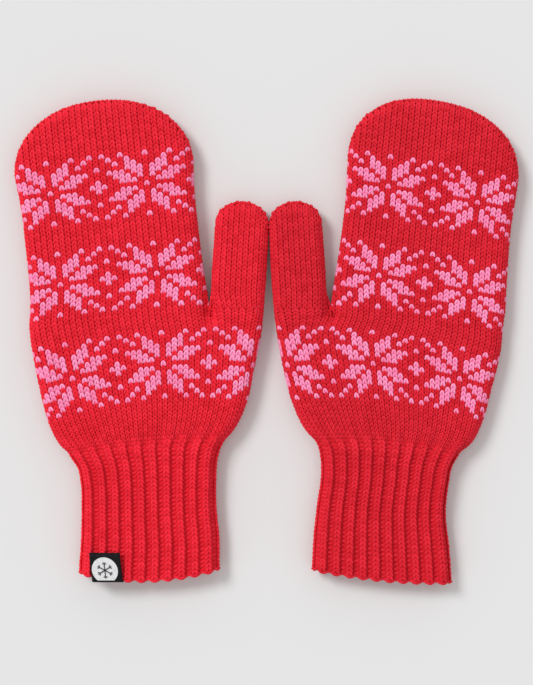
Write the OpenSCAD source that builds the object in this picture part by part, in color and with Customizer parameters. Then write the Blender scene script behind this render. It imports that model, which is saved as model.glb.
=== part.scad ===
// A pair of knitted mittens with a star pattern, lying flat side by side, palms up.
// Every length is in millimetres. Each mitten is drawn once, with x counted outward from
// the line between the two mittens, and the left one is the mirror of the right one.

/* [Pair] */
// How far the right mitten lies further out than the left one
right_shift = 1.7; // [0:0.1:10]
// Width of the right mitten as a share of the left one's
right_width = 0.965; // [0.9:0.005:1]
// Extra length of the right mitten's cuff
right_cuff_extra = 1.6; // [0:0.1:6]

/* [Knitted fabric] */
// Thickness of one layer of the knitted fabric
wall = 2.4; // [1.6:0.1:3]
// Gap between two parts that bend against each other
bend_gap = 0.4; // [0.2:0.1:1]
// Thickness of the pattern yarn carried behind the stars
float_wall = 0.5; // [0.3:0.1:0.8]

/* [Hand] */
// How far the hand leans outward from the cuff, in degrees
hand_lean = 6.7; // [0:0.1:12]
// Half width of the hand at the thumb's root
hand_root_half = 49.6; // [44:0.1:56]
// Half width of the hand over the fingers
finger_half = 48.3; // [42:0.1:54]
// Thickness of the flat, empty hand
hand_thick = 16; // [12:0.5:24]
// Length from the thumb's root to the line where the fingers bend
root_to_knuckle = 50.4; // [42:0.1:56]
// Length from the finger bend to where the tip starts to narrow
knuckle_to_tip = 34.2; // [26:0.1:44]
// Length of the rounded tip
tip_length = 37.2; // [26:0.1:46]
// Roundness of the tip's outline, where 2 is an ellipse
tip_round = 2.1; // [1.8:0.1:2.8]

/* [Thumb] */
// How far the thumb leans inward, in degrees
thumb_lean = 3.4; // [0:0.1:8]
// Half width of the thumb
thumb_half = 13.7; // [12:0.1:14.2]
// Thickness of the flat, empty thumb
thumb_thick = 13; // [11:0.5:16]
// Length of the thumb without its rounded tip
thumb_straight = 44.8; // [34:0.1:50]
// Length of the thumb's rounded tip
thumb_tip = 13.6; // [10:0.1:18]

/* [Lower hand and cuff] */
// Half width of the widest place, at the thumb's root
palm_half = 63.4; // [58:0.1:70]
// Half width at the wrist, where the cuff starts
wrist_half = 39.4; // [34:0.1:46]
// Half width of the ribbed cuff at its middle
cuff_half = 36.3; // [32:0.1:42]
// Half width of the cuff's mouth
mouth_half = 37.6; // [34:0.1:46]
// Thickness of the flat cuff
cuff_thick = 14; // [11:0.5:18]
// Length of the hem at the cuff's mouth
hem_length = 3; // [2:0.5:6]
// How much the middle of the cuff's mouth hangs below its ends
mouth_bow = 4.6; // [0:0.1:8]

/* [Label] */
// Width of the woven label
label_width = 16.7; // [12:0.1:20]
// Length of the label's front, from its top to the fold
label_length = 15.6; // [12:0.1:20]
// Thickness of the woven tape
label_thick = 0.5; // [0.3:0.1:0.8]
// How far the label is turned, in degrees
label_turn = 5; // [0:0.5:8]

/* [Hidden] */

red = [0.86, 0.15, 0.2];
dark_red = [0.78, 0.1, 0.15];
pink = [0.97, 0.55, 0.7];

arc_steps = 10;          // segments of each rounded side of a section
tip_steps = 7;           // rings of a rounded tip
tip_last = 80;           // angle at which a tip closes, of 90
seam_radius = 0.8;       // radius of the sewn ridge inside a tip
clear = 0.15;            // gap between a wall and a piece that lies against it

// Where the hand's own axis starts, at the thumb's root
root = [78.1, 8.9];
// Where the thumb's axis starts, on the same slanted line as the hand's root
thumb_x = 15.8;
thumb_root = [thumb_x, root[1] + (root[0] - thumb_x) * tan(hand_lean)];
palm_x = 65.3;
palm_y = root[1] + (root[0] - palm_x) * tan(hand_lean);
wrist = [65, -62];
wrist_slant = 3;         // slant of the wrist's bend line, in degrees
mouth_slant = 1.5;       // slant of the cuff's mouth, in degrees
cuff_x = 63;
mouth_y = -123.9;
label_at = [87.4, -113.6]; // middle of the label's top edge, on the left mitten

function share(m) = m == 0 ? 1 : right_width;
function shift(m) = m == 0 ? 0 : right_shift;
function extra(m) = m == 0 ? 0 : right_cuff_extra;

// A station is [y, middle x, half width, thickness, slant, bow].
// Its ring is a flat loop with rounded sides that rests on z = 0.
function ring(s, inset) =
    let (r = s[3] / 2 - inset, flat = s[2] - s[3] / 2)
    [for (side = [0, 1], k = [0 : arc_steps])
        let (a = -90 + 180 * side + 180 * k / arc_steps,
             x = flat * (1 - 2 * side) + r * cos(a),
             u = x / s[2])
        [s[1] + x * cos(s[4]), s[0] - x * sin(s[4]) - s[5] * (1 - u * u), s[3] / 2 + r * sin(a)]];

// The station at y, between the stations of a list.
function column(list, c) = [for (s = list) [s[0], s[c]]];
function between(list, y) = [y, for (c = [1 : 5]) lookup(y, column(list, c))];
function part_of(list, low, high) =
    concat([between(list, low)],
           [for (s = list) if (s[0] > low + 0.5 && s[0] < high - 0.5) s],
           [between(list, high)]);

// The same stations on mitten m, which may be narrower and lie further out.
function fitted(list, m) =
    [for (s = list) [s[0], s[1] + shift(m), s[2] * share(m), s[3], s[4], s[5]]];

// Rings that close a rounded tip: half width and length shrink along a rounded outline.
function tip_stations(y, half, thick, long, m, inset) =
    [for (i = [1 : tip_steps])
        let (a = tip_last * i / tip_steps,
             narrow = pow(cos(a), 2 / tip_round),
             ahead = pow(sin(a), 2 / tip_round),
             thin = thick * (0.5 + 0.5 * sqrt(cos(a))))
        [y + (long - inset) * ahead, 0, half * share(m) * narrow + thick * 0.12 * ahead,
         thin, 0, 0]];

// Faces of a stack of rings. A closed stack ends in a cap.
function sides(first, rings, n, inward) =
    [for (r = [0 : rings - 2], k = [0 : n - 1])
        let (a = first + r * n + k, b = first + r * n + (k + 1) % n)
        each inward ? [[a, b + n, b], [a, a + n, b + n]] : [[a, b, b + n], [a, b + n, a + n]]];
function fan(first, n, turned) =
    [for (k = [1 : n - 2])
        turned ? [first, first + k + 1, first + k] : [first, first + k, first + k + 1]];
function band(outer, inner, n, turned) =
    [for (k = [0 : n - 1])
        let (o = outer + k, p = outer + (k + 1) % n, i = inner + k, j = inner + (k + 1) % n)
        each turned ? [[o, j, i], [o, p, j]] : [[o, i, j], [o, j, p]]];

// A hollow skin from outer and inner rings, open at its start, and at its end too
// unless it is closed.
module skin(outer, inner, closed = false) {
    n = len(outer[0]);
    inner_start = len(outer) * n;
    outer_end = (len(outer) - 1) * n;
    inner_end = inner_start + (len(inner) - 1) * n;
    ends = closed
        ? concat(fan(outer_end, n, false), fan(inner_end, n, true))
        : band(outer_end, inner_end, n, true);
    polyhedron(
        points = [for (r = concat(outer, inner), p = r) p],
        faces = concat(sides(0, len(outer), n, false), sides(inner_start, len(inner), n, true),
                       band(0, inner_start, n, false), ends),
        convexity = 6);
}

module tube_of(stations, thick, inset = 0) {
    skin([for (s = stations) ring(s, inset)], [for (s = stations) ring(s, inset + thick)]);
}

// A round cord through a list of points, closed at both ends.
module cord(points, radius) {
    steps = 8;
    last = len(points) - 1;
    rings = [for (i = [0 : last])
        let (d = points[min(i + 1, last)] - points[max(i - 1, 0)],
             side = [d[1], -d[0], 0] / norm([d[0], d[1]]))
        [for (k = [0 : steps - 1])
            let (a = 360 * k / steps)
            points[i] + radius * (cos(a) * side + sin(a) * [0, 0, 1])]];
    polyhedron(
        points = [for (r = rings, p = r) p],
        faces = concat(sides(0, len(rings), steps, false), fan(0, steps, true),
                       fan(last * steps, steps, false)),
        convexity = 4);
}

cuff_list = [
    [mouth_y, cuff_x, mouth_half, cuff_thick, mouth_slant, mouth_bow],
    [-112, cuff_x, 37.5, cuff_thick, mouth_slant, mouth_bow * 0.8],
    [-91, cuff_x + 0.2, cuff_half, cuff_thick, 2, mouth_bow * 0.5],
    [-75, cuff_x + 0.7, cuff_half + 0.4, cuff_thick, 2.5, mouth_bow * 0.2],
    [wrist[1], wrist[0], wrist_half, cuff_thick, wrist_slant, 0]
];
palm_list = [
    [wrist[1], wrist[0], wrist_half, cuff_thick, wrist_slant, 0],
    [-53, 67.4, 45.6, 15, 4, 0],
    [-45, 66.7, 50.6, hand_thick - 0.4, 4.8, 0],
    [-36, 65.6, 54.4, hand_thick, 5.4, 0],
    [-16, 65.4, 58.6, hand_thick, 6.2, 0],
    [palm_y, palm_x, palm_half, hand_thick, hand_lean, 0]
];
// The hand above the thumb's root and the fingers, along the hand's own axis
hand_list = [
    [0, 0, hand_root_half, hand_thick, 0, 0],
    [14, 0, hand_root_half - 1.5, hand_thick, 0, 0],
    [root_to_knuckle, 0, finger_half - 1.2, hand_thick, 0, 0],
    [root_to_knuckle + knuckle_to_tip, 0, finger_half, hand_thick, 0, 0]
];
thumb_list = [
    [0, 0, thumb_half - 1.3, thumb_thick, hand_lean + thumb_lean, 0],
    [7, 0, thumb_half + 0.2, thumb_thick, 3, 0],
    [thumb_straight, 0, thumb_half, thumb_thick, 0, 0]
];

// The left mitten is mirrored, the right one shifted outward.
module side_of(m) {
    if (m == 0) mirror([1, 0, 0]) children();
    else children();
}
module along_hand(m) {
    side_of(m) translate([root[0] + shift(m), root[1], 0]) rotate([0, 0, -hand_lean]) children();
}
module along_thumb(m) {
    side_of(m) translate([thumb_root[0] + shift(m), thumb_root[1], 0])
        rotate([0, 0, thumb_lean]) children();
}
function own_axis(list, m) = [for (s = list) [s[0], 0, s[2] * share(m), s[3], s[4], s[5]]];
function longer(list, m) =
    [for (s = list) [s[0] - extra(m) * (wrist[1] - s[0]) / (wrist[1] - mouth_y),
                     s[1], s[2], s[3], s[4], s[5]]];
function cuff_stations(m) = longer(fitted(cuff_list, m), m);

// The knitted hem at the cuff's mouth
module hem(m) {
    list = cuff_stations(m);
    color(dark_red) side_of(m) tube_of(part_of(list, list[0][0], list[0][0] + hem_length), wall);
}

// The ribbed cuff, from the hem to the wrist's bend line
module cuff(m) {
    list = cuff_stations(m);
    color(dark_red) side_of(m)
        tube_of(part_of(list, list[0][0] + hem_length + clear / 3, wrist[1] - bend_gap), wall);
}

// Three rounds of elastic yarn that lie inside the ribs near the mouth
module cuff_elastic(m) {
    yarn = 0.35;
    color("ivory") side_of(m)
        for (y = [-119, -111, -103])
            translate([cuff_x + shift(m), y, cuff_thick / 2])
                rotate([90, 0, -mouth_slant])
                    hoop(mouth_half * share(m) - cuff_thick / 2 - 1.2,
                         cuff_thick / 2 - wall - clear - 3 * yarn, yarn);
}
module hoop(flat, r, yarn) {
    for (s = [-1, 1]) {
        translate([s * flat, 0, 0]) rotate([0, 0, -90 * s])
            rotate_extrude(angle = 180, $fn = 48) translate([r, 0]) circle(yarn, $fn = 16);
        translate([-flat, s * r, 0]) rotate([0, 90, 0]) cylinder(h = 2 * flat, r = yarn, $fn = 16);
    }
}

// The hand below the thumb's root, which holds the low star band
module lower_hand(m) {
    list = fitted(palm_list, m);
    color(red) side_of(m) tube_of(part_of(list, wrist[1], palm_y), wall);
}

// The hand from the thumb's root to the finger bend, with the middle star band
module upper_hand(m) {
    list = own_axis(hand_list, m);
    color(red) along_hand(m)
        tube_of(part_of(list, clear / 2, root_to_knuckle), wall);
}

// The sewn stitches that close the fork between hand and thumb
module thumb_join(m) {
    inside = hand_thick - 2 * wall - 2 * clear;
    color(dark_red) along_hand(m)
        for (step = [0, 1])
            translate([-hand_root_half * share(m) - 0.6, -2 - 2.2 * step, wall + clear])
                cylinder(h = inside, r = 0.9, $fn = 24);
}

// The closed end of the hand, with the top star band
module fingers(m) {
    tip_y = root_to_knuckle + knuckle_to_tip;
    start = root_to_knuckle + bend_gap;
    straight = part_of(own_axis(hand_list, m), start, tip_y);
    outer = concat(straight, tip_stations(tip_y, finger_half, hand_thick, tip_length, m, 0));
    inner = concat(straight, tip_stations(tip_y, finger_half, hand_thick, tip_length, m, wall));
    color(red) along_hand(m)
        skin([for (s = outer) ring(s, 0)], [for (s = inner) ring(s, wall)], true);
}

// The ridge of the sewn closing, inside the fingertips
module tip_seam(m) {
    inset = wall + clear + seam_radius + 0.5;
    color(dark_red) along_hand(m)
        cord([for (a = [-66 : 12 : 66])
                 [(finger_half * share(m) - inset) * sign(a) * pow(abs(sin(a)), 2 / tip_round),
                  root_to_knuckle + knuckle_to_tip
                      + (tip_length - wall - inset) * pow(cos(a), 2 / tip_round),
                  hand_thick * 0.44]],
             seam_radius);
}

// The knitted thumb
module thumb(m) {
    outer = thumb_rings(m, 0);
    inner = thumb_rings(m, wall);
    color(red) along_thumb(m)
        translate([0, bend_gap, 0])
            skin([for (s = outer) ring(s, 0)], [for (s = inner) ring(s, wall)], true);
}
function thumb_rings(m, inset) =
    concat(own_axis(thumb_list, m),
           tip_stations(thumb_straight, thumb_half, thumb_thick, thumb_tip, m, inset));

// The ridge of the sewn closing, inside the thumb's tip
module thumb_seam(m) {
    inset = wall + clear + seam_radius + 0.4;
    color(dark_red) along_thumb(m)
        cord([for (a = [-50 : 12.5 : 50])
                 [(thumb_half * share(m) - inset) * sign(a) * pow(abs(sin(a)), 2 / tip_round),
                  bend_gap + thumb_straight
                      + (thumb_tip - wall - inset) * pow(cos(a), 2 / tip_round),
                  thumb_thick * 0.44]],
             seam_radius);
}

// The pattern yarn that runs behind the stars of one band, inside the fabric
module star_yarn_low(m) {
    color(pink) side_of(m)
        tube_of(part_of(fitted(palm_list, m), -31, 3), float_wall, wall + clear);
}
module star_yarn_mid(m) {
    color(pink) along_hand(m)
        tube_of(part_of(own_axis(hand_list, m), 8, 43.4), float_wall, wall + clear);
}
module star_yarn_top(m) {
    color(pink) along_hand(m)
        tube_of(part_of(own_axis(hand_list, m), 57.2, 84), float_wall, wall + clear);
}

// The woven label, folded over the hem: one leaf outside, one inside
module label() {
    outside = cuff_thick + 0.1;
    inside = cuff_thick - wall - 1.6;
    fold = -label_length;
    back = 8;
    color("black") on_label()
        translate([-label_width / 2, 0, 0]) rotate([90, 0, 90])
            linear_extrude(label_width)
                polygon([[0, outside], [0, outside + label_thick],
                         [fold - label_thick, outside + label_thick],
                         [fold - label_thick, inside - label_thick],
                         [fold + back, inside - label_thick], [fold + back, inside],
                         [fold, inside], [fold, outside]]);
}
module label_stitches() {
    count = 5;
    pitch = label_width / count;
    color("dimgray") on_label()
        for (i = [0 : count - 1])
            translate([(i + 0.5) * pitch - label_width / 2 - 0.9, -1.6,
                       cuff_thick + 0.1 + label_thick])
                cube([1.8, 0.6, 0.3]);
}
module on_label() {
    side_of(0) translate([label_at[0], label_at[1], 0]) rotate([0, 0, -label_turn]) children();
}

hem(0);  // left_hem
cuff(0);  // left_cuff
cuff_elastic(0);  // left_cuff_elastic
lower_hand(0);  // left_lower_hand
upper_hand(0);  // left_upper_hand
thumb_join(0);  // left_thumb_join
fingers(0);  // left_fingers
tip_seam(0);  // left_tip_seam
thumb(0);  // left_thumb
thumb_seam(0);  // left_thumb_seam
star_yarn_low(0);  // left_star_yarn_low
star_yarn_mid(0);  // left_star_yarn_mid
star_yarn_top(0);  // left_star_yarn_top
label();  // left_label
label_stitches();  // left_label_stitches
hem(1);  // right_hem
cuff(1);  // right_cuff
cuff_elastic(1);  // right_cuff_elastic
lower_hand(1);  // right_lower_hand
upper_hand(1);  // right_upper_hand
thumb_join(1);  // right_thumb_join
fingers(1);  // right_fingers
tip_seam(1);  // right_tip_seam
thumb(1);  // right_thumb
thumb_seam(1);  // right_thumb_seam
star_yarn_low(1);  // right_star_yarn_low
star_yarn_mid(1);  // right_star_yarn_mid
star_yarn_top(1);  // right_star_yarn_top
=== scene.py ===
import math
import bpy
import numpy as np
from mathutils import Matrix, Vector


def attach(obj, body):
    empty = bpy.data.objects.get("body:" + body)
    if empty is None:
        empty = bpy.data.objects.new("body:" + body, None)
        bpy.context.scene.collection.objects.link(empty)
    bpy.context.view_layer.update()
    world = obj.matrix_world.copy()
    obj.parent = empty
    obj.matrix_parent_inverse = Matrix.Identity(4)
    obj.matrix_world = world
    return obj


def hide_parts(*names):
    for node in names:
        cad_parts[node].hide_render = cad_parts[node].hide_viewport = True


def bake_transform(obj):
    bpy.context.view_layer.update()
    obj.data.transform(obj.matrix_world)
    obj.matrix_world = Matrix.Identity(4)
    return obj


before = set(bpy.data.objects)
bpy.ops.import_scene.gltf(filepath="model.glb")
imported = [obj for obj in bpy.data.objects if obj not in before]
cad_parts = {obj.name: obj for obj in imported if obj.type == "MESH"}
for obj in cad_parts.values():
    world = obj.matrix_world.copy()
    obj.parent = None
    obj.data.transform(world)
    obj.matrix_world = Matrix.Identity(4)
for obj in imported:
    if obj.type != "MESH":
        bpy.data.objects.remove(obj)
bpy.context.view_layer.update()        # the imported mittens, as a fixed frame
print("frame loaded")

# Places on the fabric are worked out in millimetres, with x counted outward from the line
# between the two mittens. The left mitten is mirrored at the end.
mm = 0.001

fabric = {
    "course": 2.333,         # height of one row of stitches
    "yarn": 0.68,            # radius of the knitting yarn
    "heart": 0.62,           # and of the part seen inside each loop
    "halfThick": 6.1,        # from the middle of the mitten to the middle of the stitches
    "palmWales": 80,         # columns of stitches around the hand below the thumb
    "handWales": 64,
    "thumbWales": 24,
    "ribs": 22,
    "splitRow": 3,           # row where hand and thumb part
    "wander": 0.05,          # how much a stitch's size varies
    "stray": 0.035,          # how far it sits off its place
    "waleWidth": 3.2,        # column width that the modelled stitch is made for
    "endReach": 0.998,       # stitches past this share of a tip's outline are left out
    "seed": 7,
}
tipShape = {"tipStart": 84.6, "lastRow": 54, "tipRow": 34, "bow": 0.9, "release": 7}
thumbTip = {
    "tipStart": 46.2, "tipLength": 12.8, "tipRound": 2.2, "lastRow": 28, "bow": 0.4, "release": 4.5,
    "firstPlace": -5.5, "thick": 5.7,
}
starBand = {"low": -10, "mid": 11, "top": 32, "reach": 7}        # middle rows, and rows either way

# Each mitten has its own measures, because no two come off the machine the same.
# hand and thumb: distance along the tube, half width.
# palm: row, middle x, y between the sides, half width, drop of the outer side, bow, half thickness.
mittens = {
    "left": {
        "mirror": -1, "handRoot": (78.1, 8.9), "handLean": 6.4, "tilt": 0.002,
        "tipLength": 36.3, "tipRound": 2.15,
        "firstPlace": -1.56, "course": 2.333, "handPhase": (0.2, 0.0026), "palmDrift": -0.06,
        "upperWales": 30.8, "palmUpper": 40, "palmShift": 0.0,
        "forkTurn": 0.380, "ribPhase": -0.05,
        "hand": [(-6, 49.3), (0, 49.2), (18, 47.1), (50.4, 46.3), (62, 46.3), (73, 46.7),
                 (84.6, 47.8)],
        "thumbRoot": (16.0, 16.2), "thumbLean": -3.35,
        "thumb": [(-6, 13.2), (0, 13.3), (10, 13.9), (46.2, 14.0)],
        "palm": [
            (-60, 63.2, -124.4, 36.8, 1.0, -4.9, 5.3),
            (-58, 63.2, -120.3, 36.7, 1.0, -4.7, 5.2),
            (-52, 62.8, -107.0, 36.2, 1.1, -3.6, 5.0),
            (-44, 63.4, -89.6, 35.2, 1.4, -1.8, 5.0),
            (-36, 63.7, -73.0, 35.5, 2.0, -0.1, 5.2),
            (-32, 64.2, -64.9, 36.7, 2.4, 0.8, 5.4),
            (-29, 65.0, -58.8, 39.7, 2.9, 1.9, 5.6),
            (-27, 64.9, -55.2, 42.6, 3.3, 2.7, 5.7),
            (-24, 64.5, -50.0, 46.9, 4.2, 4.0, 5.8),
            (-18, 64.1, -38.7, 52.6, 5.5, 5.7, 6.0),
            (-10, 64.4, -19.6, 57.3, 6.2, 6.5, 6.1),
            (-3, 64.4, 0.9, 61.3, 6.2, 2.6, 6.1),
            (0, 64.7, 7.2, 62.1, 5.6, 2.9, 6.1),
            (3, 64.8, 13.3, 62.7, 4.7, 3.3, 6.1),
        ],
    },
    "right": {
        "mirror": 1, "handRoot": (81.1, 8.9), "handLean": 5.9, "tilt": 0.0735,
        "tipLength": 35.9, "tipRound": 2.3,
        "firstPlace": -3.8, "course": 2.29, "handPhase": (1.55, 0.0047), "palmDrift": 0.065,
        "upperWales": 32, "palmUpper": 41, "palmShift": 0.45,
        "forkTurn": 0.371, "ribPhase": -0.05,
        "hand": [(-6, 47.6), (0, 47.5), (18, 46.1), (50.4, 44.7), (62, 44.6), (73, 45.2),
                 (84.6, 45.8)],
        "thumbRoot": (18.4, 16.2), "thumbLean": -3.35,
        "thumb": [(-6, 13.2), (0, 13.3), (10, 13.9), (46.2, 13.9)],
        "palm": [
            (-60, 62.2, -127.0, 36.6, 3.5, -2.0, 5.3),
            (-58, 62.2, -122.8, 36.4, 3.3, -2.0, 5.2),
            (-52, 62.0, -108.4, 35.5, 2.8, -1.8, 5.0),
            (-44, 62.0, -90.0, 33.6, 2.2, -1.0, 5.0),
            (-36, 64.0, -73.0, 33.4, 2.0, 0.2, 5.2),
            (-32, 64.6, -64.9, 34.3, 2.4, 0.9, 5.4),
            (-29, 65.4, -58.8, 36.6, 2.9, 1.9, 5.6),
            (-27, 65.4, -55.2, 39.5, 3.3, 2.7, 5.7),
            (-24, 65.4, -50.0, 44.4, 4.2, 4.0, 5.8),
            (-18, 65.1, -38.7, 50.3, 5.5, 5.7, 6.0),
            (-10, 65.1, -19.6, 55.6, 6.2, 6.5, 6.1),
            (-3, 65.3, -1.5, 59.4, 8.4, 5.0, 6.1),
            (0, 65.6, 4.7, 60.4, 7.8, 4.8, 6.1),
            (3, 65.6, 10.8, 61.0, 7.2, 4.6, 6.1),
        ],
    },
}
rng = np.random.default_rng(fabric["seed"])
midHeight = fabric["halfThick"] + 0.95       # the middle of the mitten above the ground


def ease(t):
    t = np.clip(t, 0, 1)
    return t * t * (3 - 2 * t)


def unit(v):
    return v / np.maximum(np.linalg.norm(v, axis=-1, keepdims=True), 1e-9)


def smoothCurve(xs, ys, at):                 # a smooth line through the given places
    xs, ys = np.asarray(xs, float), np.asarray(ys, float)
    slope = np.gradient(ys, xs)
    at = np.clip(at, xs[0], xs[-1])
    k = np.clip(np.searchsorted(xs, at) - 1, 0, len(xs) - 2)
    step = xs[k + 1] - xs[k]
    t = (at - xs[k]) / step
    a = (1 + 2 * t) * (1 - t) ** 2 * ys[k] + t * t * (3 - 2 * t) * ys[k + 1]
    return a + step * (t * (1 - t) ** 2 * slope[k] - t * t * (1 - t) * slope[k + 1])


def loopPoint(turn, half, thick):
    # A flat loop with round sides: turn 0 is the outer fold, 0 to 0.5 the upper face
    turn = turn % 1.0
    under = turn > 0.5
    quarter = thick * math.pi / 2
    flat = 2 * (half - thick)
    place = np.where(under, 1 - turn, turn) * 2 * (2 * quarter + flat)
    first = np.clip(place / thick, 0, math.pi / 2)
    last = np.clip((place - quarter - flat) / thick, 0, math.pi / 2)
    middle = np.clip(place - quarter, 0, flat)
    u = half - thick + thick * np.cos(first) - middle - thick * np.sin(last)
    z = thick * np.sin(first) * np.cos(last)
    return u, np.where(under, -z, z)


def handTurn(side, wale):                    # the upper face can hold fewer columns
    n, upper = fabric["handWales"], mittens[side]["upperWales"]
    return np.interp(wale % n, [0, upper, n], [0, 0.5, 1])


def palmTurn(side, wale, row):               # columns spread evenly, or meet the fork
    n, upper, at = fabric["palmWales"], mittens[side]["upperWales"], mittens[side]["forkTurn"]
    wale = wale % n
    under = fabric["handWales"] - upper
    near = np.interp(wale, [0, upper, n - under, n], [0, at, 1 - at, 1])
    even = np.interp(wale, [0, mittens[side]["palmUpper"], n], [0, 0.5, 1])
    even = even + mittens[side]["palmShift"] / n
    share = ease((row + 5) / 8)
    return even * (1 - share) + near * share


def palmPoint(side, row, turn):
    m = mittens[side]
    columns = np.array(m["palm"]).T
    x0, y0, half, drop, bow, thick = [smoothCurve(columns[0], c, row) for c in columns[1:]]
    u, z = loopPoint(turn, half, thick)
    q = u / half
    z = z + 0.5 * (1 - q * q) * ease(z / thick)
    forkU = loopPoint(np.array(m["forkTurn"]), half, thick)[0]
    pinch = np.exp(-((u - forkU) / 4.2) ** 2) * ease((row + 3) / 6)
    z = z * (1 - pinch)
    y = y0 - drop * q + bow * (1 - q * q)
    return np.stack([x0 + u, y, z + midHeight + 0 * u], -1)


def leaned(tube, ahead, u):                  # from the tube's own directions to the table's
    lean = math.radians(tube["lean"])
    return (tube["root"][0] + ahead * math.sin(lean) + u * math.cos(lean),
            tube["root"][1] + ahead * math.cos(lean) - u * math.sin(lean))


def tubePoint(tube, place, turn, cut):
    # A straight tube with a rounded, flat end. cut: columns stay straight and end at the outline
    xs, halfs = np.array(tube["halfWidths"]).T
    half = smoothCurve(xs, halfs, place)
    widest, thick, power = halfs[-1], tube["thick"], tube["tipRound"]
    u, z = loopPoint(turn, half, thick)
    over = np.clip((place - tube["tipStart"]) / tube["tipLength"], 0, 1)
    if not cut:
        u = u * (1 - over ** power) ** (1 / power)
    reach = ((np.abs(u) / widest) ** power + over ** power) ** (1 / power)
    flat = 1 - thick / widest
    rim = np.clip((reach - flat) / (1 - flat), 0, 1)
    z = np.where(over > 0, np.sign(z) * thick * np.sqrt(1 - rim ** 2), z)
    z = z + 0.5 * (1 - np.clip(reach, 0, 1) ** 2) * ease(z / thick)
    ahead = place - tube["tilt"] * u + tube["bow"] * (1 - (u / widest) ** 2)
    x, y = leaned(tube, ahead, u)
    point = np.stack([x, y, z + midHeight + 0 * u], -1)
    return point, np.where(over > 0, reach, 0)


def handTube(side):
    m = mittens[side]
    return dict(tipShape, tipLength=m["tipLength"], tipRound=m["tipRound"],
                halfWidths=m["hand"], thick=fabric["halfThick"], tilt=m["tilt"],
                root=m["handRoot"], lean=m["handLean"])


def thumbTube(side):
    m = mittens[side]
    return dict(thumbTip, halfWidths=m["thumb"], tilt=0.0, root=m["thumbRoot"],
                lean=m["thumbLean"])


def joinedTube(side, tube, first, course, row, turn, below, cut):
    # The tube's first ring is pulled onto the palm's last ring, and lets go over a few rows
    split = fabric["splitRow"]
    point, reach = tubePoint(tube, first + course * row, turn, cut)
    atSplit = tubePoint(tube, first + course * split + 0 * row, turn, cut)[0]
    gap = palmPoint(side, split + 0 * row, below) - atSplit
    return point + gap * (1 - ease((row - split) / tube["release"]))[..., None], reach


def handPoint(side, row, turn, cut=True):
    m = mittens[side]
    row, turn = np.broadcast_arrays(np.asarray(row, float), np.asarray(turn, float) % 1.0)
    below = np.where(turn <= 0.5, turn * 2 * m["forkTurn"], 1 - (1 - turn) * 2 * m["forkTurn"])
    return joinedTube(side, handTube(side), m["firstPlace"], m["course"], row, turn, below, cut)


def thumbPoint(side, row, turn, cut=True):
    m = mittens[side]
    row, turn = np.broadcast_arrays(np.asarray(row, float), np.asarray(turn, float) % 1.0)
    below = m["forkTurn"] + (1 - 2 * m["forkTurn"]) * turn
    return joinedTube(side, thumbTube(side), thumbTip["firstPlace"], fabric["course"], row, turn,
                      below, cut)


def ribRise(row):                            # how far the ribs have come out of the plain fabric
    return ease((-18 - row) / 14)


def ribWave(side, turn):                     # 1 on a rib's crest, -1 in a furrow
    return np.cos(2 * math.pi * (turn * fabric["ribs"] - mittens[side]["ribPhase"]))


def ribPoint(side, row, turn, lift=0.0):
    # Ribs stand out of the loop: lift moves along the fabric's own outward direction
    base = palmPoint(side, row, turn)
    wave = ribWave(side, turn)
    out = outward(lambda r, t: palmPoint(side, r, t), row, turn)
    flat = 0.45 + 0.55 * ease(np.abs(base[..., 2] - midHeight) / 4.5)    # pressed at the folds
    rise = (0.2 + 0.75 * wave) * flat * ribRise(row)
    return base + out * (rise + lift)[..., None]


def outward(surface, row, turn):
    across = surface(row, turn + 0.002) - surface(row, turn - 0.002)
    up = surface(row + 0.2, turn) - surface(row - 0.2, turn)
    return unit(np.cross(up, across))


# One stitch of each kind is modelled, then copied over the fabric
stitchLine = [(-1.14, -1.5, -0.36), (-1.0, -0.55, 0.06), (-0.7, 0.36, 0.12), (-0.25, 0.8, -0.06),
              (0.25, 0.8, -0.06), (0.7, 0.36, 0.12), (1.0, -0.55, 0.06), (1.14, -1.5, -0.36)]
heartLine = [(0, -1.45, -0.5), (0, -0.6, -0.32), (0, 0.3, -0.36)]      # the yarn seen between
purlLine = [(-1.15, -0.3, -0.3), (-0.6, 0.04, -0.05), (0, 0.14, 0.03), (0.6, 0.08, -0.05),
            (1.15, -0.2, -0.3)]


def modelYarn(name, line, radius, sides=5):
    # A disc pushed along the line, ring by ring
    line = np.array(line, float)
    run = np.gradient(line, axis=0)
    heading = np.unwrap(np.arctan2(run[:, 1], run[:, 0]))
    bpy.ops.object.select_all(action="DESELECT")
    bpy.ops.mesh.primitive_circle_add(vertices=sides, radius=radius, fill_type="NGON",
                                      location=line[0],
                                      rotation=(-math.pi / 2, 0, heading[0] - math.pi / 2))
    yarn = bpy.context.object
    yarn.name = name
    bpy.ops.object.transform_apply(location=True, rotation=True, scale=True)
    bpy.ops.object.mode_set(mode="EDIT")
    bpy.ops.mesh.select_all(action="SELECT")
    for k in range(1, len(line)):
        step = tuple(line[k] - line[k - 1])
        bpy.ops.mesh.extrude_region_move(TRANSFORM_OT_translate={"value": step})
        bpy.ops.transform.rotate(value=heading[k - 1] - heading[k], orient_axis="Z",
                                 center_override=tuple(line[k]))
    bpy.ops.mesh.select_all(action="SELECT")
    bpy.ops.mesh.normals_make_consistent(inside=False)
    bpy.ops.object.mode_set(mode="OBJECT")
    return yarn


def turnOutward():                           # the faces of the piece that is in hand
    bpy.ops.object.mode_set(mode="EDIT")
    bpy.ops.mesh.select_all(action="SELECT")
    bpy.ops.mesh.normals_make_consistent(inside=False)
    bpy.ops.object.mode_set(mode="OBJECT")


def takeInHand(piece):
    bpy.ops.object.select_all(action="DESELECT")
    bpy.context.view_layer.objects.active = piece
    piece.select_set(True)


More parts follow.
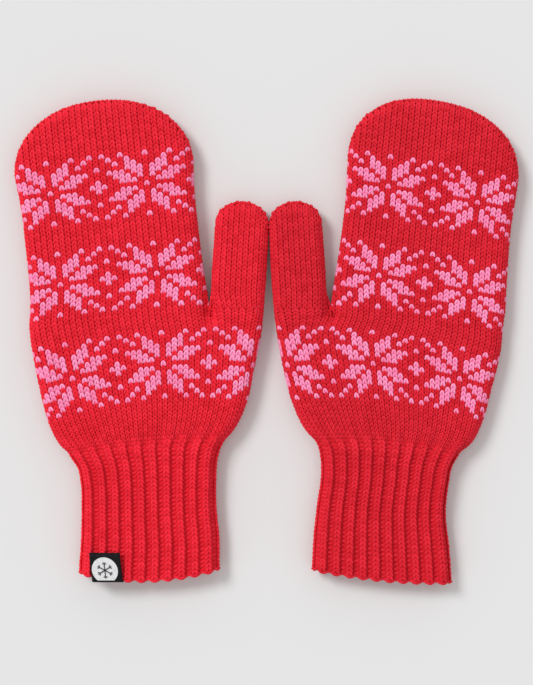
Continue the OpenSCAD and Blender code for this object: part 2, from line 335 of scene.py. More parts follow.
def yarnShape(yarn, sides=5):
    # The modelled yarn as plain arrays, with its own length and turn for the ply pattern
    mesh = yarn.data
    points = np.array([v.co for v in mesh.vertices], float)
    faces = [list(p.vertices) for p in mesh.polygons]
    rings = len(points) // sides
    along, around = [], []
    for face in faces:
        ring = [v // sides / (rings - 1) for v in face]
        turn = np.array([v % sides / sides for v in face])
        if turn.max() - turn.min() > 0.5:
            turn = np.where(turn < 0.5, turn + 1, turn)
        along += ring
        around += list(turn)
    bpy.data.objects.remove(yarn)
    return {
        "points": points, "corners": np.concatenate(faces), "sizes": [len(f) for f in faces],
        "uv": np.stack([along, around], -1),
    }


def together(first, second):                 # two yarn shapes that are copied as one
    shift = len(first["points"])
    return {
        "points": np.concatenate([first["points"], second["points"]]),
        "corners": np.concatenate([first["corners"], second["corners"] + shift]),
        "sizes": first["sizes"] + second["sizes"],
        "uv": np.concatenate([first["uv"], second["uv"]]),
    }


loop = yarnShape(modelYarn("stitch", stitchLine, fabric["yarn"]))
heart = yarnShape(modelYarn("heart", heartLine, fabric["heart"], 4), 4)
stitch = together(loop, heart)
purl = yarnShape(modelYarn("purl", purlLine, 0.82))
print("stitches modelled")


def meshObject(name, points, corners, sizes, side):
    mesh = bpy.data.meshes.new(name)
    points = np.array(points, float).reshape(-1, 3) * mm
    points[:, 0] *= mittens[side]["mirror"]
    mesh.vertices.add(len(points))
    mesh.vertices.foreach_set("co", points.astype(np.float32).ravel())
    mesh.loops.add(len(corners))
    mesh.loops.foreach_set("vertex_index", np.asarray(corners, np.int32))
    mesh.polygons.add(len(sizes))
    starts = np.concatenate([[0], np.cumsum(sizes)[:-1]]).astype(np.int32)
    mesh.polygons.foreach_set("loop_start", starts)
    mesh.polygons.foreach_set("use_smooth", np.ones(len(sizes), bool))
    mesh.update(calc_edges=True)
    piece = bpy.data.objects.new(name, mesh)
    bpy.context.scene.collection.objects.link(piece)
    return piece


def layYarn(name, shape, middle, across, up, out, side, material,
            width=fabric["waleWidth"]):
    # Copies a yarn shape to every place, stretched to the room that the place has
    count = len(middle)
    local = shape["points"]
    grow = 1 + rng.uniform(-fabric["wander"], fabric["wander"], (count, 3))
    stray = rng.normal(0, fabric["stray"], (count, 3))
    x = local[None, :, 0] / width * grow[:, 0:1]
    y = local[None, :, 1] / fabric["course"] * grow[:, 1:2]
    z = local[None, :, 2] * grow[:, 2:3]
    points = (middle + stray)[:, None, :] + x[..., None] * across[:, None, :]
    points = points + y[..., None] * up[:, None, :] + z[..., None] * out[:, None, :]
    corners, sizes, uv = shape["corners"], np.array(shape["sizes"]), shape["uv"]
    if side == "right":                      # the mirrored copy turns inside out
        bounds = np.cumsum(sizes)
        order = np.concatenate([np.arange(e - 1, e - s - 1, -1) for e, s in zip(bounds, sizes)])
        corners, uv = corners[order], uv[order]
    n = len(local)
    allCorners = (corners[None, :] + n * np.arange(count)[:, None]).ravel()
    piece = meshObject(name, points, allCorners, np.tile(sizes, count), side)
    layer = piece.data.uv_layers.new(name="yarn")
    start = rng.uniform(0, 1, (count, 1, 1))
    layer.data.foreach_set("uv", (uv[None] + start).astype(np.float32).ravel())
    tone = piece.data.attributes.new("tone", "FLOAT", "FACE")
    values = np.repeat(rng.uniform(0, 1, count), len(sizes))
    tone.data.foreach_set("value", values.astype(np.float32))
    piece.data.materials.append(material)
    return piece


def stitchPlaces(surface, row, wale):
    # Middle, sideways step, upward step and outward direction of each stitch
    row, wale = np.asarray(row, float), np.asarray(wale, float)
    middle = surface(row, wale)
    across = surface(row, wale + 0.5) - surface(row, wale - 0.5)
    up = surface(row + 0.5, wale) - surface(row - 0.5, wale)
    return middle, across, up, unit(np.cross(up, across))


def starMask(row, wale, centreRow):
    # True where the star chart has the second colour
    i = (wale - 6 + 8) % 16 - 8
    a, b = np.abs(i), np.abs(row - centreRow)
    star = (a == 0) & (b == 0)
    star |= (a >= 1) & (a <= 3) & (b >= a + 1) & (b <= a + 3)
    star |= (a >= 2) & (a <= 6) & (b >= np.maximum(1, a - 3)) & (b <= np.minimum(3, a - 1))
    dots = [(0, 7), (4, 7), (5, 5), (6, 6), (7, 7), (8, 0), (8, 1), (7, 0), (8, 4)]
    for da, db in dots:
        star |= (a == da) & (b == db)
    return star & (b <= starBand["reach"])


def newGroup(name, inputs, outputs):
    group = bpy.data.node_groups.new(name, "ShaderNodeTree")
    for label, kind, value in inputs:
        socket = group.interface.new_socket(label, in_out="INPUT", socket_type=kind)
        socket.default_value = value
    for label, kind in outputs:
        group.interface.new_socket(label, in_out="OUTPUT", socket_type=kind)
    return group, group.nodes.new("NodeGroupInput"), group.nodes.new("NodeGroupOutput")


def mathNode(tree, operation, first, second=None):
    node = tree.nodes.new("ShaderNodeMath")
    node.operation = operation
    for k, value in enumerate([first, second]):
        if value is None:
            continue
        if hasattr(value, "links"):
            tree.links.new(value, node.inputs[k])
        else:
            node.inputs[k].default_value = value
    return node.outputs[0]


def noiseNode(tree, vector, scale, detail=2.0):
    node = tree.nodes.new("ShaderNodeTexNoise")
    node.inputs["Detail"].default_value = detail
    node.inputs["Scale"].default_value = scale
    tree.links.new(vector, node.inputs["Vector"])
    return node.outputs["Fac"]


def colourNodes(tree, shader, shade, dark, light, low=0.0, high=1.0):
    ramp = tree.nodes.new("ShaderNodeValToRGB")
    for element, place, colour in zip(ramp.color_ramp.elements, (low, high), (dark, light)):
        element.position = place
        element.color = (*colour, 1)
    tree.links.new(shade, ramp.inputs["Fac"])
    tree.links.new(ramp.outputs["Color"], shader.inputs["Base Color"])


def bumpNodes(tree, shader, height, strength, distance):
    bump = tree.nodes.new("ShaderNodeBump")
    bump.inputs["Strength"].default_value = strength
    bump.inputs["Distance"].default_value = distance
    tree.links.new(height, bump.inputs["Height"])
    tree.links.new(bump.outputs["Normal"], shader.inputs["Normal"])


def patternPlaces(tree, mapName):            # sideways and upward on the map, and the own place
    uv = tree.nodes.new("ShaderNodeUVMap")
    uv.uv_map = mapName
    split = tree.nodes.new("ShaderNodeSeparateXYZ")
    tree.links.new(uv.outputs["UV"], split.inputs[0])
    place = tree.nodes.new("ShaderNodeTexCoord")
    return split.outputs["X"], split.outputs["Y"], place.outputs["Object"]


def makePlyGroup():
    # Two twisted plies with stray fibres: a height for the bump, and for the colour a tone with
    # painted shade in the grooves between the plies
    group, given, result = newGroup(
        "twistedYarn",
        [("Twists", "NodeSocketFloat", 2.5), ("Fibre", "NodeSocketFloat", 0.35)],
        [("Height", "NodeSocketFloat"), ("Shade", "NodeSocketFloat")])
    mapX, mapY, place = patternPlaces(group, "yarn")
    along = mathNode(group, "MULTIPLY", mapX, given.outputs["Twists"])
    phase = mathNode(group, "ADD", along, mathNode(group, "MULTIPLY", mapY, 2.0))
    wave = mathNode(group, "SINE", mathNode(group, "MULTIPLY", phase, 2 * math.pi))
    fibre = noiseNode(group, place, 2600, 4.0)
    loose = mathNode(group, "MULTIPLY", fibre, given.outputs["Fibre"])
    height = mathNode(group, "ADD", mathNode(group, "MULTIPLY", wave, 0.3), loose)
    group.links.new(height, result.inputs["Height"])
    tone = group.nodes.new("ShaderNodeAttribute")
    tone.attribute_name = "tone"
    patch = noiseNode(group, place, 60)
    mottle = mathNode(group, "ADD", mathNode(group, "MULTIPLY", patch, 0.5),
                      mathNode(group, "MULTIPLY", tone.outputs["Fac"], 0.45))
    # painted shade: the colour is darker where the twist and the fibres are low, in the grooves
    # between the plies
    furrow = mathNode(group, "MULTIPLY", mathNode(group, "ADD", wave, fibre), 0.1)
    group.links.new(mathNode(group, "ADD", mottle, furrow), result.inputs["Shade"])
    return group


def makePurlGroup():
    # The inside of the fabric: rows of small bumps from the piece's own UV map, with painted shade
    # between them
    group, given, result = newGroup(
        "insideRows",
        [("Wales", "NodeSocketFloat", 64.0), ("Rows", "NodeSocketFloat", 34.0)],
        [("Height", "NodeSocketFloat"), ("Shade", "NodeSocketFloat")])
    mapX, mapY, place = patternPlaces(group, "UVMap")
    sideways = mathNode(group, "MULTIPLY", mapX, given.outputs["Wales"])
    upward = mathNode(group, "MULTIPLY", mapY, given.outputs["Rows"])
    swing = mathNode(group, "SINE", mathNode(group, "MULTIPLY", sideways, 2 * math.pi))
    bent = mathNode(group, "ADD", upward, mathNode(group, "MULTIPLY", swing, 0.22))
    bump = mathNode(group, "SINE", mathNode(group, "MULTIPLY", bent, 2 * math.pi))
    fibre = noiseNode(group, place, 1800, 4.0)
    height = mathNode(group, "ADD", bump, mathNode(group, "MULTIPLY", fibre, 0.4))
    group.links.new(height, result.inputs["Height"])
    # painted shade: lighter on the bumps and darker between the rows, with the fibre noise as tone
    shade = mathNode(group, "ADD", mathNode(group, "MULTIPLY", bump, 0.25), fibre)
    group.links.new(shade, result.inputs["Shade"])
    return group


plyGroup = makePlyGroup()
purlGroup = makePurlGroup()


def clothMaterial(name, group, values, dark, light, bumpHeight, sheen=0.25, roughness=0.9):
    material = bpy.data.materials.new(name)
    material.use_nodes = True
    tree = material.node_tree
    tree.nodes.clear()
    output = tree.nodes.new("ShaderNodeOutputMaterial")
    shader = tree.nodes.new("ShaderNodeBsdfPrincipled")
    tree.links.new(shader.outputs[0], output.inputs["Surface"])
    shader.inputs["Roughness"].default_value = roughness
    shader.inputs["Specular IOR Level"].default_value = 0.2
    shader.inputs["Sheen Weight"].default_value = sheen
    shader.inputs["Sheen Roughness"].default_value = 0.45
    shader.inputs["Sheen Tint"].default_value = (*light, 1)
    surface = tree.nodes.new("ShaderNodeGroup")
    surface.node_tree = group
    for label, value in values.items():
        surface.inputs[label].default_value = value
    colourNodes(tree, shader, surface.outputs["Shade"], dark, light, 0.2, 0.8)
    bumpNodes(tree, shader, surface.outputs["Height"], 0.5, bumpHeight)
    return material


coloursAndShade = {
    "redDark": (0.75, 0.0135, 0.03), "redLight": (0.915, 0.0255, 0.051),
    "rightShare": 0.88,          # the right mitten is a little darker
    "cuffShare": 1.01,
    "pinkDark": (0.96, 0.23, 0.43), "pinkLight": (1.0, 0.35, 0.59),
    # the inside reds are darker than the yarn's reds: painted shade for the skin seen between the
    # stitches and inside the mouth
    "insideDark": (0.68, 0.01, 0.022), "insideLight": (0.88, 0.02, 0.04),
}


def shaded(colour, share):
    return tuple(c * share for c in colour)


materials = {}
for side, share in [("left", 1.0), ("right", coloursAndShade["rightShare"])]:
    own = {}
    for kind, colour, part in [("Red", "red", share), ("Rib", "red", share * coloursAndShade["cuffShare"]),
                               ("Pink", "pink", 1.0)]:
        own[kind.lower()] = clothMaterial(side + kind + "Yarn", plyGroup,
                                          {"Twists": 2.5, "Fibre": 0.5},
                                          shaded(coloursAndShade[colour + "Dark"], part),
                                          shaded(coloursAndShade[colour + "Light"], part), 0.0001)
    own["inside"] = clothMaterial(side + "Inside", purlGroup, {"Wales": 80.0, "Rows": 34.0},
                                  shaded(coloursAndShade["insideDark"], share),
                                  shaded(coloursAndShade["insideLight"], share), 0.0003)
    materials[side] = own
print("materials made")


skinWall = {"thick": 1.1, "depth": 0.5, "short": 0.12}      # short: rows left open at a tip


def modelSkin(name, surface, rows, turns, side, thick, closedEnd=False):
    # A flat grid laid round the mitten, closed along its side and given its thickness
    bpy.ops.object.select_all(action="DESELECT")
    low, high, count = rows
    bpy.ops.mesh.primitive_grid_add(x_subdivisions=turns, y_subdivisions=count, size=2)
    skin = bpy.context.object
    skin.name = name
    mesh = skin.data
    flat = np.zeros(len(mesh.vertices) * 3, np.float32)
    mesh.vertices.foreach_get("co", flat)
    flat = flat.reshape(-1, 3)
    turn, up = (flat[:, 0] + 1) / 2, (flat[:, 1] + 1) / 2
    turn = np.where(turn > 0.99999, 0.0, turn)
    points = surface(low + (high - low) * up, turn) * mm
    points[:, 0] *= mittens[side]["mirror"]
    mesh.vertices.foreach_set("co", points.astype(np.float32).ravel())
    mesh.update()
    bpy.ops.object.mode_set(mode="EDIT")
    bpy.ops.mesh.select_all(action="SELECT")
    bpy.ops.mesh.remove_doubles(threshold=0.00003)
    if closedEnd:
        bpy.ops.mesh.dissolve_degenerate(threshold=0.00003)
    bpy.ops.mesh.normals_make_consistent(inside=False)
    bpy.ops.object.mode_set(mode="OBJECT")
    bpy.ops.object.shade_smooth()
    wall = skin.modifiers.new("wall", "SOLIDIFY")
    wall.thickness = thick * mm
    wall.offset = -1
    bpy.ops.object.modifier_apply(modifier="wall")
    skin.data.materials.append(materials[side]["inside"])
    return skin


def sunk(surface, depth):                    # the same surface, moved inward
    def lower(row, turn):
        row, turn = np.broadcast_arrays(np.asarray(row, float), np.asarray(turn, float))
        return surface(row, turn) - outward(surface, row, turn) * depth
    return lower


def fix(piece, body, node=None):   # what it moves with and stands for
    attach(piece, body)
    if node:
        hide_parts(node)


def bendFingers(piece):
    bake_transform(piece)


def bendThumb(piece):
    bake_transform(piece)


def bendWrist(piece):
    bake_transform(piece)


def tubeAlong(name, points, radius, side, material, sides=6, closed=False):
    # A round cord through a list of points in millimetres
    points = np.array(points, float)
    count = len(points)
    if closed:
        run = unit(np.roll(points, -1, 0) - np.roll(points, 1, 0))
    else:
        run = unit(np.gradient(points, axis=0))
    helper = np.where(np.abs(run[:, 2:3]) < 0.8, [[0, 0, 1.0]], [[1.0, 0, 0]])
    first = unit(np.cross(run, helper))
    second = np.cross(run, first)
    angles = np.arange(sides) * 2 * math.pi / sides
    rings = points[:, None] + radius * (np.cos(angles)[None, :, None] * first[:, None]
                                        + np.sin(angles)[None, :, None] * second[:, None])
    faces = []
    for k in range(count if closed else count - 1):
        for s in range(sides):
            a, b = k * sides + s, k * sides + (s + 1) % sides
            c, d = (k + 1) % count * sides + (s + 1) % sides, (k + 1) % count * sides + s
            faces.append([a, b, c, d])
    if not closed:
        faces.append(list(range(sides))[::-1])
        faces.append([(count - 1) * sides + s for s in range(sides)])
    corners = np.concatenate(faces)
    piece = meshObject(name, rings, corners, [len(f) for f in faces], side)
    layer = piece.data.uv_layers.new(name="yarn")
    uv = np.stack([corners // sides / 3.0, corners % sides / sides], -1)
    layer.data.foreach_set("uv", uv.astype(np.float32).ravel())
    takeInHand(piece)
    turnOutward()
    piece.data.materials.append(material)
    return piece


cuff = {
    "firstRow": -59,
    "ribTop": -25,           # ribs start here
    "plainEnd": -29,         # plain columns end here
    "ribYarnWidth": 3.8,     # width of a rib's single column of stitches
    "furrowWidth": 3.4,
    "palmRow": -13,          # the lower stitches end and the palm's begin
    "skinJoin": -28,         # the lower hand's skin meets the cuff's
    "skinEnd": -59.3,
    "skinTurns": 176,
    "round": 156,            # millimetres round the ribs, pressed flat
    "purlWidth": 2.4,        # column width that the purl stitch is made for
}
hemEdge = {"row": -59.25, "wave": 0.3, "roll": 0.85, "points": 264}
elasticRounds = {"rows": (-57, -53.5, -50), "points": 132, "lift": -1.42, "radius": 0.3}
seamCord = {"tip": 3.9, "thumb": 3.6, "arc": 62, "points": 48, "radius": 0.6, "forkRadius": 0.5}


def buildLowerHand(side):
    own = materials[side]
    phase, lean = mittens[side]["handPhase"]
    drift = mittens[side]["palmDrift"]
    split = fabric["splitRow"]
    row, wale = np.meshgrid(np.arange(cuff["plainEnd"], split), np.arange(fabric["palmWales"]))
    row, wale = row.ravel(), wale.ravel()
    pink = starMask(row, wale, starBand["low"])

    def surface(r, w):
        turn = palmTurn(side, w + phase + lean * split + drift * (r - split), r)
        return ribPoint(side, r, turn)
    middle, across, up, out = stitchPlaces(surface, row + 0.5, wale)
    middle = middle - out * (1.2 * ease((-26 - row) / 3))[:, None]
    for name, mask in [("_lower_stitches", ~pink & (row < cuff["palmRow"])),
                       ("_palm_stitches", ~pink & (row >= cuff["palmRow"]))]:
        red = layYarn(side + name, stitch, middle[mask], across[mask], up[mask], out[mask], side,
                      own["red"])
        bendWrist(red)
    stars = layYarn(side + "_low_stars", stitch, middle[pink], across[pink], up[pink],
                    out[pink], side, own["pink"])
    plain = sunk(lambda r, t: ribPoint(side, r, t), skinWall["depth"])
    skin = modelSkin(side + "_lower_skin", plain, (cuff["skinJoin"], split, 44),
                     cuff["skinTurns"], side, skinWall["thick"])
    bendWrist(skin)
    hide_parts(side + "_lower_hand")
    fix(stars, side + "_hand", side + "_star_yarn_low")


def buildCuff(side):
    own = materials[side]
    ribs, phase = fabric["ribs"], mittens[side]["ribPhase"]
    row, rib = np.meshgrid(np.arange(cuff["firstRow"], cuff["ribTop"]), np.arange(ribs))
    row, rib = row.ravel() + 0.5, rib.ravel() + phase

    def crest(r, w):
        return ribPoint(side, r, w / ribs, 0.12 - 1.3 * ease((r + 30) / 5))

    def furrow(r, w):
        return ribPoint(side, r, w / ribs, -0.3 - 1.2 * ease((r + 30) / 3))
    perRib = ribs / cuff["round"]
    middle, across, up, out = stitchPlaces(crest, row, rib)
    across = across * (cuff["ribYarnWidth"] * perRib)
    columns = layYarn(side + "_rib_columns", stitch, middle, across, up, out, side, own["rib"])
    middle, across, up, out = stitchPlaces(furrow, row, rib - 0.5)
    across = across * (cuff["furrowWidth"] * perRib)
    furrows = layYarn(side + "_rib_furrows", purl, middle, across, up, out, side, own["rib"],
                      width=cuff["purlWidth"])
    low = sunk(lambda r, t: ribPoint(side, r, t), 0.4)
    skin = modelSkin(side + "_cuff_skin", low,
                     (cuff["skinEnd"], cuff["skinJoin"], 40), cuff["skinTurns"], side, 1.2)
    for piece in (columns, furrows, skin):
        bendWrist(piece)
    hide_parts(side + "_cuff")
    buildHem(side)
    buildElastic(side)


def buildHem(side):
    # A rolled edge that follows the scalloped mouth, with its cast-off loops
    own = materials[side]

    def edge(turn, lift):
        return ribPoint(side, hemEdge["row"] - hemEdge["wave"] * ribWave(side, turn), turn,
                        0 * turn + lift)
    turns = np.arange(hemEdge["points"]) / hemEdge["points"]
    roll = tubeAlong("roll", edge(turns, -0.5), hemEdge["roll"], side, own["rib"], 8, True)
    loops = fabric["ribs"] * 2
    k = (np.arange(loops) + 0.5) / loops
    step = 0.5 / loops
    along = edge(k + step, -0.35) - edge(k - step, -0.35)
    out = outward(lambda r, t: palmPoint(side, r, t), np.full(loops, -59.4), k)
    down = unit(np.cross(out, along))
    chain = layYarn("chain", stitch, edge(k, -0.45), out * 2.3, along, down, side, own["rib"])
    hem = joined(side + "_hem_edge", [roll, chain])
    fix(hem, side + "_cuff", side + "_hem")


def buildElastic(side):
    parts = []
    count = elasticRounds["points"]
    turns = np.arange(count) / count
    for row in elasticRounds["rows"]:
        points = ribPoint(side, np.full(count, float(row)), turns, 0 * turns + elasticRounds["lift"])
        parts.append(tubeAlong("elasticRound", points, elasticRounds["radius"], side,
                               elasticMaterial, 6, True))
    elastic = joined(side + "_cuff_elastic_yarn", parts)
    fix(elastic, side + "_cuff", side + "_cuff_elastic")


def joined(name, parts):
    bpy.ops.object.select_all(action="DESELECT")
    for part in parts:
        part.select_set(True)
    bpy.context.view_layer.objects.active = parts[0]
    if len(parts) > 1:
        bpy.ops.object.join()
    parts[0].name = name
    parts[0].data.name = name
    return parts[0]


elasticMaterial = clothMaterial("elasticYarn", plyGroup, {"Twists": 6.0, "Fibre": 0.2},
                                (0.55, 0.5, 0.42), (0.8, 0.76, 0.66), 0.00005, 0.1, 0.7)


def tubeStitches(side, point, row, wale, turnOf, limit):
    def surface(r, w):
        return point(side, r, turnOf(r, w))[0]
    reach = point(side, row + 0.5, turnOf(row + 0.5, wale))[1]
    keep = reach < limit
    row, wale = row[keep], wale[keep]
    middle, across, up, out = stitchPlaces(surface, row + 0.5, wale)
    long = np.linalg.norm(up, axis=1, keepdims=True)
    up = up * np.minimum(1, 1.5 * fabric["course"] / long)
    wide = np.linalg.norm(across, axis=1, keepdims=True)
    across = across * np.minimum(1, 1.5 * fabric["waleWidth"] / wide)
    return row, wale, (middle, across, up, out)


def outlinePlaces(tube, inset, fullTurn, count):
    # Points along the rounded outline of a flat end, and the outline's length
    power = tube["tipRound"]
    angle = np.linspace(-fullTurn, fullTurn, 400)
    half = tube["halfWidths"][-1][1] - inset
    u = half * np.sign(angle) * np.abs(np.sin(angle)) ** (2 / power)
    over = np.abs(np.cos(angle)) ** (2 / power)
    s = tube["tipStart"] + (tube["tipLength"] - inset) * over
    s = s - tube["tilt"] * u + tube["bow"] * (1 - (u / half) ** 2)
    x, y = leaned(tube, s, u)
    length = np.concatenate([[0], np.cumsum(np.hypot(np.diff(x), np.diff(y)))])
    count = count or int(length[-1] / fabric["course"])
    at = (np.arange(count) + 0.5) / count * length[-1]

    def place(l):
        return np.stack([np.interp(l, length, x), np.interp(l, length, y),
                         np.full(len(l), midHeight)], -1)
    return place, at


def tipEdge(side, tube, name):
    # The closing chain that follows the rounded outline, one row on each face
    place, at = outlinePlaces(tube, 0.75, math.pi / 2, 0)
    up = unit(place(at + 1.2) - place(at - 1.2)) * fabric["course"]
    across = np.zeros_like(up)
    across[:, 2] = fabric["waleWidth"]
    out = unit(np.cross(up, across))
    lean = np.array([0, 0, 1.7])
    parts = []
    for way in (1, -1):
        tipped = across - way * out * 0.5
        parts.append(layYarn(name, stitch, place(at) + way * lean - 0.35 * out, tipped, up, out,
                             side, materials[side]["red"]))
    return joined(name, parts)


def buildHand(side):
    m = mittens[side]
    own = materials[side]
    phase, drift = m["handPhase"]
    n, split, tipRow = fabric["handWales"], fabric["splitRow"], tipShape["tipRow"]
    row, wale = np.meshgrid(np.arange(split, tipShape["lastRow"]), np.arange(n))
    row, wale, places = tubeStitches(side, handPoint, row.ravel(), wale.ravel(),
                                     lambda r, w: handTurn(side, w + phase + drift * r),
                                     fabric["endReach"])
    mid = starMask(row, wale, starBand["mid"])
    top = starMask(row, wale, starBand["top"])
    plain = ~mid & ~top
    groups = [
        ("_upper_stitches", plain & (row < tipRow), own["red"], "red_knit"),
        ("_tip_stitches", plain & (row >= tipRow), own["red"], "red_knit"),
        ("_mid_stars", mid, own["pink"], "pink_yarn"),
        ("_top_stars", top, own["pink"], "pink_yarn"),
    ]
    made = {}
    for name, mask, material, slotName in groups:
        piece = layYarn(side + name, stitch, *[p[mask] for p in places], side, material)
        made[name] = piece

    def inner(r, t):
        return handPoint(side, r, t, cut=False)[0]
    low = sunk(inner, skinWall["depth"])
    skin = modelSkin(side + "_upper_skin", low, (split, tipRow, 44), 96, side,
                     skinWall["thick"])
    last = (tipShape["tipStart"] + m["tipLength"] - m["firstPlace"]) / m["course"] - skinWall["short"]
    tip = modelSkin(side + "_tip_skin", low, (tipRow, last, 30), 96, side,
                    skinWall["thick"], closedEnd=True)
    edge = tipEdge(side, handTube(side), side + "_tip_edge")
    for piece in (made["_upper_stitches"], made["_mid_stars"], made["_top_stars"], skin):
        bendFingers(piece)
    for piece in (made["_tip_stitches"], tip, edge):
        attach(piece, side + "_fingers")
    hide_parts(side + "_upper_hand")
    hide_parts(side + "_fingers")
    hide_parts(side + "_star_yarn_mid")
    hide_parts(side + "_star_yarn_top")


def buildThumb(side):
    own = materials[side]
    n, split = fabric["thumbWales"], fabric["splitRow"]
    row, wale = np.meshgrid(np.arange(split, thumbTip["lastRow"]), np.arange(n))
    row, wale, places = tubeStitches(side, thumbPoint, row.ravel(), wale.ravel(),
                                     lambda r, w: w / n, fabric["endReach"])
    red = layYarn(side + "_thumb_stitches", stitch, *places, side, own["red"])

    def inner(r, t):
        return thumbPoint(side, r, t, cut=False)[0]
    last = thumbTip["tipStart"] + thumbTip["tipLength"] - thumbTip["firstPlace"]
    last = last / fabric["course"] - skinWall["short"]
    skin = modelSkin(side + "_thumb_skin", sunk(inner, skinWall["depth"]), (split, last, 44), 40,
                     side, skinWall["thick"], closedEnd=True)
    edge = tipEdge(side, thumbTube(side), side + "_thumb_edge")
    for piece in (red, skin):
        bendThumb(piece)
    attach(edge, side + "_thumb")
    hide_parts(side + "_thumb")


def buildSeams(side):
    # The sewn closings inside the tips and the stitches in the fork
    own = materials[side]
    for tube, kind, body in [(handTube(side), "tip", "_fingers"),
                             (thumbTube(side), "thumb", "_thumb")]:
        place, at = outlinePlaces(tube, seamCord[kind], math.radians(seamCord["arc"]),
                                  seamCord["points"])
        points = place(at)
        points[:, 2] += 0.25 * np.sin(at * 2.2)
        cord = tubeAlong(side + "_" + kind + "_closing", points, seamCord["radius"], side,
                         own["rib"], 6)
        fix(cord, side + body, side + "_" + kind + "_seam")
    at = np.array([float(fabric["splitRow"])])
    fork = palmPoint(side, at, np.array([mittens[side]["forkTurn"]]))[0]
    parts = []
    for k in range(3):
        y = fork[1] - 0.6 - 1.3 * k
        high = 3.2 + 0.9 * k
        bend = [(fork[0] + 0.5 * math.sin(a * 3), y, fork[2] + high * a)
                for a in np.linspace(-1, 1, 9)]
        parts.append(tubeAlong("forkStitch", bend, seamCord["forkRadius"], side, own["rib"],
                               6))
    join = joined(side + "_fork_stitches", parts)
    fix(join, side + "_hand", side + "_thumb_join")


label = {
    "top": (-86.95, -112.75),
    "width": 16.4,
    "length": 15.0,
    "lean": 0.115,           # it was sewn on leaning toward the other mitten
    "tape": 0.45,
    "height": 15.2,          # of the front leaf's upper side above the ground
    "backHeight": 9.2,
    "backLength": 7.0,
    "discRadius": 6.95,
    "discAt": (-0.7, -9.3),
}
flakeShape = {
    "arm": (8.6, 0.6, 0.2), "twig": (1.6, 0.5, 0.18), "height": 0.2,
    "twigAt": 3.0, "twigTurn": 50, "twigOut": 0.55,
}


def labelMaterial(name, dark, light, scale, roughness):
    material = bpy.data.materials.new(name)
    material.use_nodes = True
    tree = material.node_tree
    shader = tree.nodes["Principled BSDF"]
    shader.inputs["Roughness"].default_value = roughness
    shader.inputs["Specular IOR Level"].default_value = 0.15
    coordinates = tree.nodes.new("ShaderNodeTexCoord")
    split = tree.nodes.new("ShaderNodeSeparateXYZ")
    tree.links.new(coordinates.outputs["Object"], split.inputs[0])
    warp = mathNode(tree, "SINE", mathNode(tree, "MULTIPLY", split.outputs["X"], scale))
    weft = mathNode(tree, "SINE", mathNode(tree, "MULTIPLY", split.outputs["Y"], scale * 0.8))
    weave = mathNode(tree, "MULTIPLY", warp, weft)
    noise = noiseNode(tree, coordinates.outputs["Object"], 700)
    # painted shade: the colour is lighter on the raised weave and darker between the threads, with
    # noise as tone
    shade = mathNode(tree, "ADD", mathNode(tree, "MULTIPLY", weave, 0.25), noise)
    colourNodes(tree, shader, shade, dark, light)
    bumpNodes(tree, shader, weave, 0.4, 0.0001)
    return material


def placeOnLabel(piece):                     # from the label's own place to the left cuff
    for v in piece.data.vertices:
        x, y = v.co.x / mm, v.co.y / mm
        v.co.x = (x - label["lean"] * y + label["top"][0]) * mm
        v.co.y = (y + label["top"][1]) * mm


def leafHeight(x):                           # the tape gives a little over the ribs
    return label["height"] - 0.004 * x * x


def buildLabel():
    long, back = label["length"], label["backLength"]
    radius = (label["height"] - label["backHeight"]) / 2
    total = long + math.pi * radius + back
    bpy.ops.object.select_all(action="DESELECT")
    bpy.ops.mesh.primitive_grid_add(x_subdivisions=14, y_subdivisions=60, size=2)
    tape = bpy.context.object
    tape.name = "left_label_tape"
    for v in tape.data.vertices:
        x = v.co.x * label["width"] / 2
        along = (1 - v.co.y) / 2 * total
        top = leafHeight(x)
        if along < long:
            y, z = -along, top - 0.35 * ease(1 - along / 3)
        elif along < long + math.pi * radius:
            a = (along - long) / radius
            y = -long - 0.8 * math.sin(a)
            z = top - radius + radius * math.cos(a)
        else:
            y, z = -long + (along - long - math.pi * radius), top - 2 * radius
        v.co = (x * mm, y * mm, z * mm)
    turnOutward()
    bpy.ops.object.shade_smooth()
    wall = tape.modifiers.new("tape", "SOLIDIFY")
    wall.thickness = label["tape"] * mm
    wall.offset = 0
    bpy.ops.object.modifier_apply(modifier="tape")
    placeOnLabel(tape)
    tape.data.materials.append(labelMaterial("blackTape", (0.003, 0.003, 0.004),
                                             (0.014, 0.014, 0.017), 9000, 0.85))
    fix(tape, "left_cuff", "left_label")
    emblem = buildEmblem()
    threads = buildLabelStitches()


def flakeBar(x, y, size, turn):
    bpy.ops.mesh.primitive_cube_add(size=1, location=(x * mm, y * mm, flakeShape["height"] * mm))
    bar = bpy.context.object
    bar.scale = [length * mm for length in size]
    bar.rotation_euler = (0, 0, turn)
    bpy.ops.object.transform_apply(location=True, rotation=True, scale=True)
    return bar


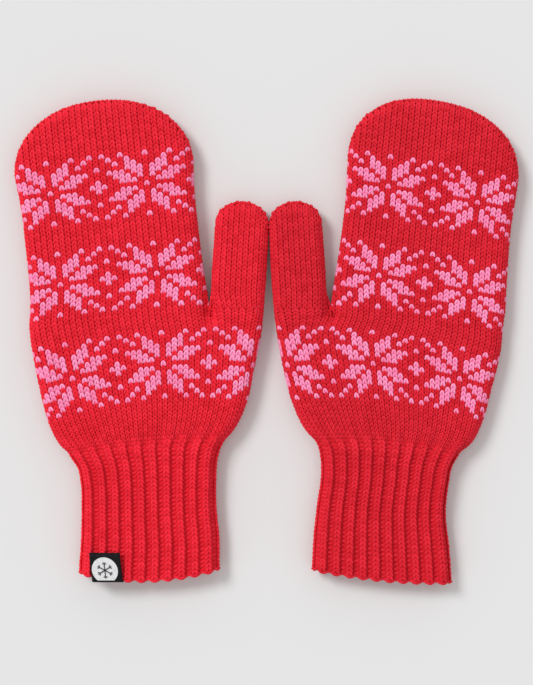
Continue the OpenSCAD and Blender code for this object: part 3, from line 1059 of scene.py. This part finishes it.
def buildEmblem():
    # A plain pale disc with a six-armed flake, cut off at the label's fold
    dx, dy = label["discAt"]
    bpy.ops.object.select_all(action="DESELECT")
    bpy.ops.mesh.primitive_cylinder_add(vertices=64, radius=label["discRadius"] * mm,
                                        depth=0.24 * mm, location=(dx * mm, dy * mm, 0))
    disc = bpy.context.object
    bpy.ops.object.transform_apply(location=True, rotation=True, scale=True)
    bpy.ops.object.mode_set(mode="EDIT")
    bpy.ops.mesh.select_all(action="SELECT")
    bpy.ops.mesh.bisect(plane_co=(0, (-label["length"] + 0.3) * mm, 0), plane_no=(0, 1, 0),
                        use_fill=True, clear_inner=True)
    bpy.ops.object.mode_set(mode="OBJECT")
    parts = []
    for k in range(3):
        angle = k * math.pi / 3 + math.pi / 2
        parts.append(flakeBar(dx, dy, flakeShape["arm"], angle))
        for end in (-1, 1):
            for lean in (-1, 1):
                turn = angle + lean * math.radians(flakeShape["twigTurn"])
                reach, out = flakeShape["twigAt"] * end, flakeShape["twigOut"] * end
                x = dx + reach * math.cos(angle) + out * math.cos(turn)
                y = dy + reach * math.sin(angle) + out * math.sin(turn)
                parts.append(flakeBar(x, y, flakeShape["twig"], turn))
    flake = joined("left_label_flake", parts)
    for piece in (disc, flake):
        takeInHand(piece)
        for v in piece.data.vertices:
            v.co.z += (leafHeight(0) + label["tape"] / 2 + 0.1) * mm
        placeOnLabel(piece)
    disc.name = "left_label_disc"
    disc.data.materials.append(labelMaterial("whiteWeave", (0.55, 0.55, 0.56),
                                             (0.86, 0.86, 0.87), 7000, 0.7))
    flake.data.materials.append(labelMaterial("greyWeave", (0.03, 0.03, 0.035),
                                              (0.12, 0.12, 0.13), 7000, 0.7))
    for piece in (disc, flake):
        fix(piece, "left_cuff")
    return disc


def buildLabelStitches():
    parts = []
    for k in range(5):
        x = (k - 2) * label["width"] / 5
        top = leafHeight(x) + label["tape"] / 2
        line = [(x - 1.1 + 2.2 * t, -1.5 + 0.1 * math.sin(5 * t),
                 top - 0.25 + 0.35 * math.sin(math.pi * t)) for t in np.linspace(0, 1, 7)]
        parts.append(tubeAlong("labelStitch", line, 0.2, "right", threadMaterial, 6))
    threads = joined("left_label_threads", parts)
    placeOnLabel(threads)
    fix(threads, "left_cuff", "left_label_stitches")
    return threads


threadMaterial = clothMaterial("blackThread", plyGroup, {"Twists": 3.0, "Fibre": 0.2},
                               (0.01, 0.01, 0.011), (0.05, 0.05, 0.055), 0.00005, 0.1, 0.6)

for side in ("left", "right"):
    buildLowerHand(side)
    buildCuff(side)
    buildHand(side)
    buildThumb(side)
    buildSeams(side)
    print(side, "mitten built")
buildLabel()
print("label built")


studio = {
    "floor": (0.745, 0.745, 0.745),
    "sky": 0.68,
    "sun": 1.65,
    "sunTravel": (0.62, -0.5, -0.85),        # the way the light travels
    "sunSoft": 0.35,
    "lens": 100,
    "frameHeight": 0.37,
}


def buildStudio():
    bpy.ops.object.select_all(action="DESELECT")
    bpy.ops.mesh.primitive_plane_add(size=6, location=(0, 0, -0.0002))
    floor = bpy.context.object
    floor.name = "floor"
    material = bpy.data.materials.new("paleFloor")
    material.use_nodes = True
    shader = material.node_tree.nodes["Principled BSDF"]
    shader.inputs["Base Color"].default_value = (*studio["floor"], 1)
    shader.inputs["Roughness"].default_value = 1.0
    shader.inputs["Specular IOR Level"].default_value = 0.0
    floor.data.materials.append(material)
    world = bpy.data.worlds.new("studio")
    bpy.context.scene.world = world
    world.use_nodes = True
    world.node_tree.nodes["Background"].inputs["Color"].default_value = (1, 1, 1, 1)
    world.node_tree.nodes["Background"].inputs["Strength"].default_value = studio["sky"]
    turn = Vector(studio["sunTravel"]).to_track_quat("-Z", "Y").to_euler()
    bpy.ops.object.light_add(type="SUN", rotation=turn)
    sun = bpy.context.object
    sun.data.energy = studio["sun"]
    sun.data.angle = studio["sunSoft"]
    distance = studio["frameHeight"] * studio["lens"] / 36
    bpy.ops.object.camera_add(location=(0, 0, distance + 0.007), rotation=(0, 0, 0))
    camera = bpy.context.object
    camera.data.lens = studio["lens"]
    camera.data.sensor_width = 36
    bpy.context.scene.camera = camera
    bpy.context.scene.view_settings.view_transform = "Standard"


buildStudio()
print("studio ready")
